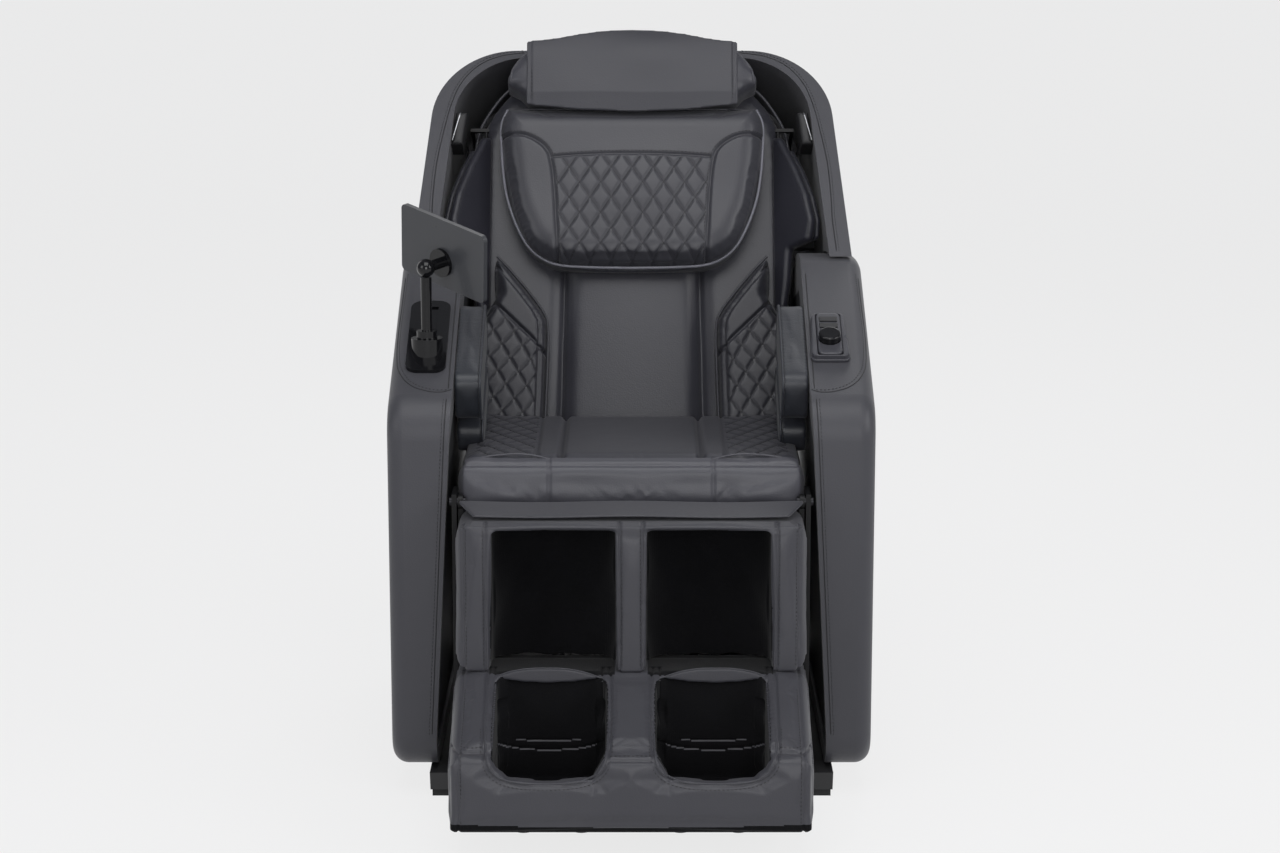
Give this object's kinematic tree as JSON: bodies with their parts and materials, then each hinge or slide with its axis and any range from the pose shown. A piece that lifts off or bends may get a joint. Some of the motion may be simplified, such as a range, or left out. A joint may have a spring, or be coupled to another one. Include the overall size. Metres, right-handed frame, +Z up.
{
  "type": "massage chair",
  "caption": "Reclining full-body massage chair with a hooded back, padded side arms, a lifting leg rest with calf and foot wells, and a tablet on a ball-jointed post.",
  "frame": {"origin": "on the floor under the middle of the chair's overall length and width", "axes": "+X to the right of someone facing the chair, +Y to the chair's rear, +Z up"},
  "size_m": [0.79, 1.2375, 1.2083],
  "materials": {
    "leather": "satin grained",
    "black_plastic": "moulded",
    "gloss_black": "polished",
    "screen_glass": "polished",
    "rubber": "matte",
    "painted_steel": "powder coat",
    "bright_steel": "ground"
  },
  "bodies": {
    "base": {"base_frame": "painted_steel", "base_rail_l": "black_plastic", "base_rail_r": "black_plastic", "rubber_feet": "rubber", "side_panel_l": "leather", "side_panel_r": "leather", "arm_lining_l": "black_plastic", "arm_lining_r": "black_plastic", "arm_pad_upper_l": "leather", "arm_pad_upper_r": "leather", "arm_pad_lower_l": "leather", "arm_pad_lower_r": "leather", "seat_pan": "painted_steel", "seat_cushion": "leather", "air_pump": "black_plastic", "power_box": "black_plastic", "recline_actuator": "painted_steel", "leg_actuator": "painted_steel", "hinge_pins": "bright_steel", "wheel_axle": "bright_steel", "base_cover": "black_plastic", "tablet_plate": "gloss_black", "post_socket": "gloss_black", "remote_case": "gloss_black"},
    "back": {"hood_shell": "leather", "back_frame": "painted_steel", "guide_rails": "bright_steel", "lift_screw": "bright_steel", "rear_cover": "black_plastic", "back_cushion": "leather", "bolster_l": "leather", "bolster_r": "leather", "head_pad": "leather", "flap": "leather", "outer_wing_l": "leather", "outer_wing_r": "leather", "speaker_pod_l": "black_plastic", "speaker_pod_r": "black_plastic"},
    "shoulder_wing_l": {"wing_l": "leather"},
    "shoulder_wing_r": {"wing_r": "leather"},
    "head_pillow": {"pillow": "leather"},
    "massage_carriage": {"carriage": "painted_steel"},
    "knead_l": {"knead_arm_l": "painted_steel", "knead_rollers_l": "black_plastic"},
    "knead_r": {"knead_arm_r": "painted_steel", "knead_rollers_r": "black_plastic"},
    "leg_rest": {"leg_frame": "painted_steel", "calf_pad": "leather", "apron": "leather"},
    "foot_rest": {"foot_pad": "leather", "foot_rods": "bright_steel"},
    "post": {"stand_post": "gloss_black"},
    "knuckle": {"tablet_knuckle": "gloss_black"},
    "tablet_body": {"tablet": "gloss_black", "tablet_screen": "screen_glass"},
    "volume_knob": {"knob": "gloss_black"},
    "lower_key": {"button_lower": "black_plastic"},
    "upper_key": {"button_upper": "black_plastic"},
    "wheel_l": {"rear_wheel_l": "rubber"},
    "wheel_r": {"rear_wheel_r": "rubber"}
  },
  "joints": [
    {"name": "back_recline", "type": "hinge", "parent": "base", "child": "back", "pos_m": [0, 0.132, 0.45], "axis": [-1, 0, 0], "range_deg": [0, 45]},
    {"name": "wing_l_swing", "type": "hinge", "parent": "back", "child": "shoulder_wing_l", "pos_m": [-0.2612, 0.08382, 0.4735], "axis": [0, 0.4384, 0.8988], "range_deg": [0, 12]},
    {"name": "wing_r_swing", "type": "hinge", "parent": "back", "child": "shoulder_wing_r", "pos_m": [0.2612, 0.08382, 0.4735], "axis": [0, -0.4384, -0.8988], "range_deg": [0, 12]},
    {"name": "pillow_lift", "type": "hinge", "parent": "back", "child": "head_pillow", "pos_m": [0, 0.3033, 1.08408], "axis": [-1, 0, 0], "range_deg": [0, 100]},
    {"name": "carriage_travel", "type": "slide", "parent": "back", "child": "massage_carriage", "axis": [0, 0.4384, 0.8988], "range_m": [-0.11, 0.27]},
    {"name": "knead_r_swing", "type": "hinge", "parent": "massage_carriage", "child": "knead_r", "pos_m": [0, 0.29563, 0.63722], "axis": [1, 0, 0], "range_deg": [-5, 5]},
    {"name": "knead_l_swing", "type": "hinge", "parent": "massage_carriage", "child": "knead_l", "pos_m": [0, 0.29563, 0.63722], "axis": [1, 0, 0], "range_deg": [-5, 5]},
    {"name": "leg_raise", "type": "hinge", "parent": "base", "child": "leg_rest", "pos_m": [0, -0.308, 0.505], "axis": [-1, 0, 0], "range_deg": [0, 80]},
    {"name": "foot_extend", "type": "slide", "parent": "leg_rest", "child": "foot_rest", "axis": [0, 0, -1], "range_m": [0, 0.11]},
    {"name": "post_swivel", "type": "hinge", "parent": "base", "child": "post", "pos_m": [-0.337, -0.148, 0.8], "axis": [0, 0, 1], "range_deg": [-30, 45]},
    {"name": "tablet_tilt", "type": "hinge", "parent": "post", "child": "knuckle", "pos_m": [-0.337, -0.148, 0.86], "axis": [0.7071, -0.7071, 0], "range_deg": [-20, 20]},
    {"name": "tablet_turn", "type": "hinge", "parent": "knuckle", "child": "tablet_body", "pos_m": [-0.337, -0.148, 0.86], "axis": [0.6984, 0.6984, 0.1564], "range_deg": [-10, 90]},
    {"name": "knob_turn", "type": "hinge", "parent": "base", "child": "volume_knob", "pos_m": [0.327, -0.14095, 0.74562], "axis": [0, -0.4226, 0.9063], "continuous": true},
    {"name": "lower_key_press", "type": "slide", "parent": "base", "child": "lower_key", "axis": [0, 0.4226, -0.9063], "range_m": [0, 0.0015], "stiffness_N_per_m": 400, "springref_m": -0.001},
    {"name": "upper_key_press", "type": "slide", "parent": "base", "child": "upper_key", "axis": [0, 0.4226, -0.9063], "range_m": [0, 0.0015], "stiffness_N_per_m": 400, "springref_m": -0.001},
    {"name": "wheel_l_roll", "type": "hinge", "parent": "base", "child": "wheel_l", "pos_m": [0, 0.45, 0.042], "axis": [1, 0, 0], "continuous": true},
    {"name": "wheel_r_roll", "type": "hinge", "parent": "base", "child": "wheel_r", "pos_m": [0, 0.45, 0.042], "axis": [1, 0, 0], "continuous": true}
  ],
  "couplings": [
    {"joint": "foot_extend", "follows": "leg_raise", "m_per_rad": 0.078772},
    {"joint": "knead_l_swing", "follows": "knead_r_swing", "ratio": -1}
  ]
}
